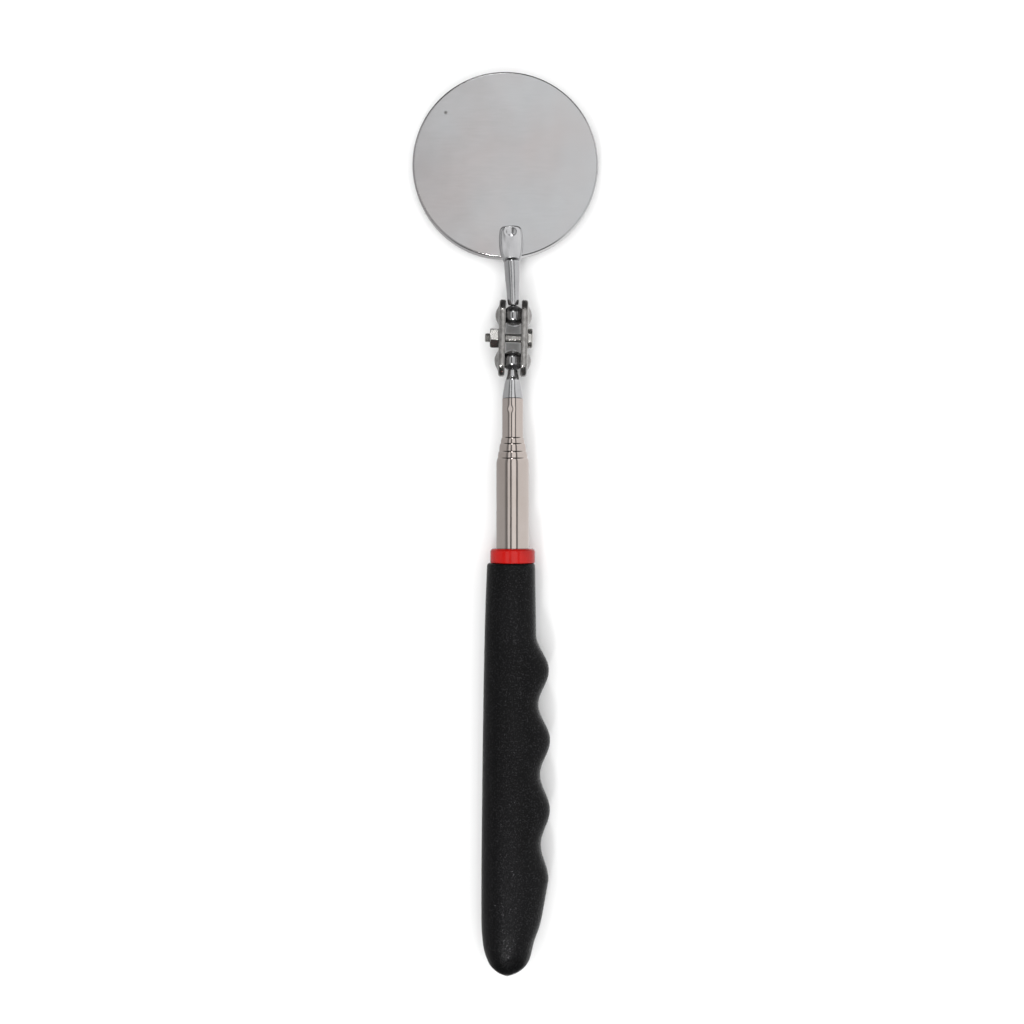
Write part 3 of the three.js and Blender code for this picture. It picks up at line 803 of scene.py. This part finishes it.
def make_screw():
    """The screw: its head on the right plate, and its end past the nut on the left."""
    seat = PLATE_OUTER + SEAT_GAP
    end = -(PLATE_OUTER + 2 * SEAT_GAP + NUT_HEIGHT + THREAD_PROUD)
    reach = HEAD_RADIUS + 0.2
    low, high = (-0.2, -reach, -reach), (HEAD_HEIGHT + 0.3, reach, reach)
    head, head_faces = skin_of(head_field, low, high, cell=0.085)
    rod, rod_faces = threaded_rod(end, seat + 0.3)
    middle = BALL_SPACING / 2
    points = [(x, y + middle, z) for x, y, z in rod]
    faces = [list(face) for face in rod_faces]
    faces.extend([len(points) + v for v in face] for face in head_faces)
    points.extend((x + seat, y + middle, z) for x, y, z in head)
    make_piece("pan_head_screw", points, faces, CLAMP, "clamp", ["clamp_screw"], "screw_steel", ZINC)


def nut_field(x, y, z):
    """A hex nut along X, chamfered on its outer face, from x = 0 out to -NUT_HEIGHT."""
    nut = None
    for k in range(3):
        angle = NUT_TURN + math.radians(60 * k)
        flat = np.abs(y * math.cos(angle) + z * math.sin(angle)) - NUT_ACROSS_FLATS / 2
        nut = flat if nut is None else smooth_most(nut, flat, EDGE_ROUND)
    radial = np.sqrt(y**2 + z**2)
    corner = NUT_ACROSS_FLATS / math.sqrt(3)
    nut = smooth_most(nut, np.abs(x + NUT_HEIGHT / 2) - NUT_HEIGHT / 2, EDGE_ROUND)
    past_chamfer = radial - corner + NUT_CHAMFER - (x + NUT_HEIGHT) * CHAMFER_SLOPE
    nut = smooth_most(nut, past_chamfer / math.hypot(1, CHAMFER_SLOPE), EDGE_ROUND)
    countersink = (SCREW_RADIUS + 0.35 - radial - (x + NUT_HEIGHT)) / math.sqrt(2)
    nut = smooth_most(nut, countersink, 0.06)
    return smooth_most(nut, SCREW_RADIUS + 0.04 - radial, 0.06)


def make_nut():
    """The nut on the left plate."""
    reach = NUT_ACROSS_FLATS / math.sqrt(3) + 0.2
    points, faces = skin_of(nut_field, (-NUT_HEIGHT - 0.2, -reach, -reach), (0.2, reach, reach), cell=0.08)
    seat = -(PLATE_OUTER + SEAT_GAP)
    points = [(x + seat, y + BALL_SPACING / 2, z) for x, y, z in points]
    make_piece("hex_nut", points, faces, CLAMP, "clamp", ["clamp_nut"], "screw_steel", ZINC)


# ---- mirror -----------------------------------------------------------------------------------
CASE_DEPTH = case_size.z / MM
CASE_BACK = CASE_DEPTH - upper_ball.z / MM
CASE_RADIUS = case_size.x / 2 / MM
CASE_SHEET = 0.5
LIP_HEIGHT = 0.45
LIP_INNER = 23.2
ROD_END = 15.6
SPREAD_START = ROD_END - 1.7
SPREAD_LENGTH = 5.6
PADDLE_NECK = 1.9  # half of its width where it leaves the rod...
PADDLE_WIDENING = 1.3  # ...and how much is added to that
PADDLE_CROWN = 0.012
PADDLE_TOP = -0.45
PADDLE_BOTTOM = CASE_BACK + SEAT_GAP
PADDLE_END = 24.35
DIMPLE_Y = 22.7
DIMPLE_RADIUS = 1.3
DIMPLE_DEPTH = 0.25
# The rod's radius by its distance from the upper ball.
ROD_RADII = [
    (2.4, 1.3),
    (2.75, 1.3),
    (3.3, 1.48),
    (4.2, 1.62),
    (6, 1.67),
    (10, 1.92),
    (14.8, 2.15),
    (17, 2.15),
]


def stem_field(x, y, z):
    """The round rod, ending in a rounded step, joined to the flattened paddle with its weld dimple."""
    radius = np.interp(y, *np.array(ROD_RADII).T)
    rod = smooth_most(np.sqrt(x**2 + z**2) - radius, BALL_RADIUS - NECK_SINK - y, 0.1)
    rod = smooth_most(rod, y - ROD_END, 1.8)
    widening = np.sin(np.clip((y - SPREAD_START) / SPREAD_LENGTH, 0, 1) * math.pi / 2)
    half_width = PADDLE_NECK + PADDLE_WIDENING * widening - 0.035 * np.maximum(y - 20, 0) ** 1.5
    paddle = smooth_most(np.abs(x) - half_width, y - PADDLE_END + 0.05 * x**2, 1.2)
    paddle = smooth_most(paddle, ROD_END - 1.5 - y, 0.3)
    half_thickness = (PADDLE_TOP - PADDLE_BOTTOM - PADDLE_CROWN * x**2) / 2
    paddle = smooth_most(paddle, np.abs(z - PADDLE_BOTTOM - half_thickness) - half_thickness, 0.6)
    stem = smooth_least(rod, paddle, 0.3)
    ball = (DIMPLE_RADIUS**2 + DIMPLE_DEPTH**2) / (2 * DIMPLE_DEPTH)
    centre = PADDLE_TOP + ball - DIMPLE_DEPTH
    from_dimple = np.sqrt((0.8 * x) ** 2 + (y - DIMPLE_Y) ** 2 + (z - centre) ** 2)
    return smooth_most(stem, ball - from_dimple, 0.1)


def make_stem():
    """The mirror's stem, from its ball to the end of the paddle."""
    low = (-3.6, BALL_RADIUS - 0.4, PADDLE_BOTTOM - 0.3)
    high = (3.6, PADDLE_END + 0.3, 2.6)
    points, faces = skin_of(stem_field, low, high, cell=0.11)
    nodes, slot = ["mirror_stem"], "stem_chrome"
    make_piece("welded_stem", points, faces, MIRROR, "mirror", nodes, slot, FORGED_CHROME)


def upright(points):
    """Turns a lathed disc from +Y to +Z."""
    return [(x, -z, y) for x, y, z in points]


def make_case():
    """The drawn case, open below, with its lip rolled in under the glass."""
    inside = CASE_RADIUS - CASE_SHEET
    corners = [
        (0, CASE_DEPTH - CASE_SHEET, 0),
        (inside, CASE_DEPTH - CASE_SHEET, 0.3),
        (inside, LIP_HEIGHT, 0.15),
        (LIP_INNER, LIP_HEIGHT, 0.12),
        (LIP_INNER, 0, 0.2),
        (CASE_RADIUS, 0, 0.6),
        (CASE_RADIUS, CASE_DEPTH, 0.5),
        (0, CASE_DEPTH, 0),
    ]
    points, faces = turned(rounded(corners), sides=256)
    points = upright(points)
    make_piece("drawn_case", points, faces, DISC, "mirror", ["mirror_case"], "case_steel", CASE)


def make_disc(name, node, bevel, slot, material):
    """A plain disc inside the case, whose edges are ground to a bevel."""
    low, size, _ = size_of(node)
    foot, top, radius = low.z / MM, (low.z + size.z) / MM, size.x / 2 / MM
    corners = [(0, foot), (radius - bevel, foot), (radius, foot + bevel), (radius, top - bevel / 2)]
    profile = [*corners, (radius - bevel / 2, top), (0, top)]
    points, faces = turned(profile, sides=192)
    make_piece(name, upright(points), faces, DISC, "mirror", [node], slot, material)


# ---- the object -------------------------------------------------------------------------------
make_grip()
make_collar()
make_plug()
for number in range(1, 6):
    make_tube(number)
for number in range(2, 6):
    make_sleeve(number)
make_tip()
make_ball("lower_ball", CLAMP)
make_ball("upper_ball", MIRROR)
make_plates()
make_screw()
make_nut()
make_stem()
make_case()
make_disc("fibre_pad", "backing_pad", 0.05, "pad_fibre", FIBRE)
make_disc("silvered_glass", "mirror_glass", 0.4, "mirror_glass", GLASS)


# ---- floor, light and camera --------------------------------------------------------------------
FLOOR_WIDTH = 60
FLOOR_DROP = 0.0001  # keeps the floor clear of the faces that rest on it
CAMERA_HEIGHT = 0.370  # above the tubes' axis
FIELD = 0.2738  # what the camera sees across, at the height of the tubes' axis
SENSOR = 36.0
VIEW_CENTRE = (-0.19, 124.15)  # on the tool, in mm


def make_floor():
    """A pale studio sweep."""
    bpy.ops.mesh.primitive_plane_add(size=FLOOR_WIDTH, location=(0, 0, -FLOOR_DROP))
    floor = bpy.context.object
    floor.name = "studio_floor"
    floor.visible_glossy = False
    surface = Surface("studio_floor", Roughness=0.9, Specular_IOR_Level=0.1)
    cloud = surface.noise((0.004, 0.004, 0.004), detail=2)
    surface.colour(surface.blended(cloud, 0.3, 0.7, (0.88, 0.88, 0.88), (0.87, 0.87, 0.87)))
    floor.data.materials.append(surface.material)


def make_panel(name, place, size, radiance):
    """A soft square panel, which faces the tool and has one radiance all over."""
    light = bpy.data.lights.new(name, "AREA")
    light.size = size
    light.energy = radiance * math.pi * size**2
    panel = bpy.data.objects.new(name, light)
    bpy.context.scene.collection.objects.link(panel)
    panel.location = place
    panel.rotation_euler = (-panel.location).to_track_quat("-Z", "Y").to_euler()
    return panel


# How bright the tent is, by direction from overhead in degrees: across, towards +X...
ACROSS_STRIPS = [
    (-180, 0.5),
    (-62, 0.5),
    (-48, 0.22),
    (-38, 0.2),
    (-33, 0.85),
    (-20, 0.85),
    (-17, 0.1),
    (-9, 0.1),
    (-5, 0.98),
    (22, 1.02),
    (26, 0.16),
    (34, 0.16),
    (39, 0.88),
    (180, 0.88),
]
# ...and along, towards +Y, as a share of that.
ALONG_SHARES = [
    (-90, 0.1),
    (-46, 0.12),
    (-38, 1.1),
    (-19, 1.0),
    (19, 1.0),
    (34, 1.1),
    (42, 0.12),
    (90, 0.1),
]


def make_world():
    """A studio tent: bright strips that run along Y with dark gaps and dark ends, and a pale backdrop."""
    world = bpy.data.worlds.new("studio_world")
    bpy.context.scene.world = world
    world.use_nodes = True
    world.cycles_visibility.diffuse = False
    nodes, links = world.node_tree.nodes, world.node_tree.links
    split = nodes.new("ShaderNodeSeparateXYZ")
    links.new(nodes.new("ShaderNodeTexCoord").outputs["Generated"], split.inputs["Vector"])

    def ramp(operation, sources, half_turn, stops):
        """Brightness by an angle, which is an inverse trigonometric function of the sources."""
        angle = nodes.new("ShaderNodeMath")
        angle.operation = operation
        for source, socket in zip(sources, angle.inputs):
            links.new(split.outputs[source], socket)
        share = nodes.new("ShaderNodeMapRange")
        share.inputs["From Min"].default_value = -math.radians(half_turn)
        share.inputs["From Max"].default_value = math.radians(half_turn)
        links.new(angle.outputs["Value"], share.inputs["Value"])
        colours = nodes.new("ShaderNodeValToRGB")
        links.new(share.outputs["Result"], colours.inputs["Fac"])
        while len(colours.color_ramp.elements) < len(stops):
            colours.color_ramp.elements.new(1.0)
        for element, (degrees, value) in zip(colours.color_ramp.elements, stops):
            element.position = (degrees + half_turn) / (2 * half_turn)
            element.color = (value, value, value, 1)
        return colours.outputs["Color"]

    background = nodes["Background"]
    links.new(ramp("ARCTAN2", "XZ", 180, ACROSS_STRIPS), background.inputs["Color"])
    links.new(ramp("ARCSINE", "Y", 90, ALONG_SHARES), background.inputs["Strength"])
    backdrop = nodes.new("ShaderNodeBackground")
    backdrop.inputs["Color"].default_value = (0.93, 0.93, 0.93, 1)
    seen = nodes.new("ShaderNodeMixShader")
    links.new(nodes.new("ShaderNodeLightPath").outputs["Is Camera Ray"], seen.inputs["Fac"])
    links.new(background.outputs["Background"], seen.inputs[1])
    links.new(backdrop.outputs["Background"], seen.inputs[2])
    links.new(seen.outputs["Shader"], nodes["World Output"].inputs["Surface"])


def make_camera():
    """A camera straight above the tool."""
    camera = bpy.data.cameras.new("photo_camera")
    camera.sensor_width = SENSOR
    camera.lens = SENSOR * CAMERA_HEIGHT / FIELD
    seen_from = bpy.data.objects.new("photo_camera", camera)
    bpy.context.scene.collection.objects.link(seen_from)
    x, y = VIEW_CENTRE
    seen_from.location = TOOL @ Vector((x * MM, y * MM, CAMERA_HEIGHT))
    bpy.context.scene.camera = seen_from


make_floor()
make_world()
make_panel("overhead_fill", place=(0, 0, 13), size=24, radiance=2.3).visible_glossy = False
make_panel("front_key", place=(-0.15, -0.6, 0.65), size=0.1, radiance=54.0)
make_panel("back_key", place=(-0.08, 0.63, 0.65), size=0.1, radiance=10.0)
make_camera()
bpy.context.scene.view_settings.view_transform = "Standard"
